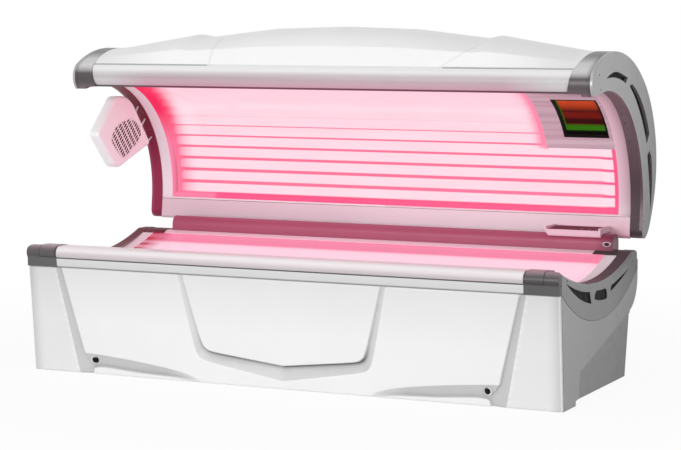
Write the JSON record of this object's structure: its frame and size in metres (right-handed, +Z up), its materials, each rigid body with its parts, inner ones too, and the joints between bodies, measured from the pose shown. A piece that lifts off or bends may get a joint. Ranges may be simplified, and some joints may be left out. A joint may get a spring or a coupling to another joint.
{
  "type": "tanning bed",
  "caption": "Clamshell tanning bed: curved clear bench over lamps, leaning front panel with moulded end trims, and a tilting lamp canopy with facial lamp, console and air pod.",
  "frame": {"origin": "middle of the bed's bounding box at floor height, with the canopy open", "axes": "+X along the bed from the air pod's end to the facial lamp's end, +Y from the user's side to the hinge side, +Z up"},
  "size_m": [2.2, 1.1519, 1.351],
  "materials": {
    "shell_white": "gloss",
    "rail_silver": "brushed satin",
    "cap_silver": "silver metallic, semi-gloss",
    "plate_silver": "silver metallic, satin",
    "cap_grey": "light grey, semi-gloss",
    "panel_white": "semi-gloss",
    "panel_grey": "grey satin paint",
    "rim_dark": "dark plum, satin",
    "trunk_dark": "dark grey, semi-gloss",
    "strip_pale": "pale, gloss",
    "acrylic_clear": "clear, polished",
    "lamp_tube": "phosphor-coated glass, lit",
    "reflector": "bright rolled sheet",
    "holder_white": "white, satin",
    "frame_steel": "powder-coated steel",
    "bar_steel": "ground bar",
    "lock_steel": "zinc-plated",
    "foot_rubber": "matte",
    "ballast_grey": "bare coated steel",
    "box_grey": "satin",
    "fan_black": "matte",
    "gland_black": "matte",
    "grille_dark": "matte",
    "window_black": "satin",
    "filter_glass": "deep red filter glass, polished",
    "capsule_lamp": "lit quartz and ceramic",
    "console_white": "gloss",
    "display_dark": "gloss",
    "key_grey": "satin",
    "pod_white": "gloss",
    "pod_grille": "satin"
  },
  "bodies": {
    "base": {"base_frame": "frame_steel", "levelling_feet": "foot_rubber", "front_panel": "panel_white", "left_end_panel": "panel_grey", "right_end_panel": "panel_grey", "rear_panel": "panel_grey", "mains_gland": "gland_black", "front_rail": "rail_silver", "rail_strip": "cap_grey", "left_rail_cap": "cap_grey", "right_rail_cap": "cap_grey", "rail_cap_covers": "cap_grey", "left_end_trim": "plate_silver", "right_end_trim": "plate_silver", "trim_grilles": "grille_dark", "bench_end_strips": "strip_pale", "bench_acrylic": "acrylic_clear", "rear_ledge": "strip_pale", "bench_lamps": "lamp_tube", "bench_reflector": "reflector", "bench_lamp_holders": "holder_white", "ballasts": "ballast_grey", "control_box": "box_grey", "base_fan_housings": "fan_black", "trunk_cover": "trunk_dark", "torsion_bars": "bar_steel", "base_screws": "lock_steel"},
    "canopy": {"canopy_shell": "shell_white", "lip_rail": "rail_silver", "left_corner_cap": "cap_silver", "right_corner_cap": "cap_silver", "left_end_plate": "plate_silver", "right_end_plate": "plate_silver", "rim_bands": "rim_dark", "canopy_inner_shroud": "strip_pale", "facial_panel": "strip_pale", "canopy_acrylic": "acrylic_clear", "canopy_lamps": "lamp_tube", "canopy_reflector": "reflector", "facial_reflector": "reflector", "canopy_lamp_holders": "holder_white", "canopy_frame": "frame_steel", "canopy_screws": "lock_steel", "canopy_fan_housing": "fan_black", "plate_grilles": "grille_dark", "facial_frame": "window_black", "facial_glass": "filter_glass", "facial_lamp": "capsule_lamp", "console_housing": "console_white", "console_display": "display_dark", "air_pod": "pod_white", "air_pod_grille": "pod_grille"},
    "left_base_fan": {"left_base_fan": "fan_black"},
    "right_base_fan": {"right_base_fan": "fan_black"},
    "left_panel_lock": {"left_panel_lock": "lock_steel"},
    "right_panel_lock": {"right_panel_lock": "lock_steel"},
    "canopy_fan": {"canopy_fan": "fan_black"},
    "start_key": {"start_key": "key_grey"},
    "cooling_key": {"cooling_key": "key_grey"},
    "facial_key": {"facial_key": "key_grey"}
  },
  "joints": [
    {"name": "canopy_tilt", "type": "hinge", "parent": "base", "child": "canopy", "pos_m": [0, 0.309, 0.515], "axis": [1, 0, 0], "range_deg": [0, 42]},
    {"name": "left_lock_turn", "type": "hinge", "parent": "base", "child": "left_panel_lock", "pos_m": [-0.824, -0.53116, 0.05677], "axis": [0, 0.9959, 0.0905], "range_deg": [0, 90]},
    {"name": "right_lock_turn", "type": "hinge", "parent": "base", "child": "right_panel_lock", "pos_m": [0.824, -0.53116, 0.05677], "axis": [0, 0.9959, 0.0905], "range_deg": [0, 90]},
    {"name": "left_base_fan_spin", "type": "hinge", "parent": "base", "child": "left_base_fan", "pos_m": [-0.46, 0.138, 0.16], "axis": [0, 1, 0], "continuous": true},
    {"name": "right_base_fan_spin", "type": "hinge", "parent": "base", "child": "right_base_fan", "pos_m": [0.46, 0.138, 0.16], "axis": [0, 1, 0], "continuous": true},
    {"name": "canopy_fan_spin", "type": "hinge", "parent": "canopy", "child": "canopy_fan", "pos_m": [-0.969, 0.35855, 1.07755], "axis": [1, 0, 0], "continuous": true},
    {"name": "start_key_press", "type": "slide", "parent": "canopy", "child": "start_key", "axis": [0, 0.0436, -0.999], "range_m": [0, 0.0015], "stiffness_N_per_m": 400},
    {"name": "cooling_key_press", "type": "slide", "parent": "canopy", "child": "cooling_key", "axis": [0, 0.0436, -0.999], "range_m": [0, 0.0015], "stiffness_N_per_m": 400},
    {"name": "facial_key_press", "type": "slide", "parent": "canopy", "child": "facial_key", "axis": [0, 0.0436, -0.999], "range_m": [0, 0.0015], "stiffness_N_per_m": 400}
  ]
}
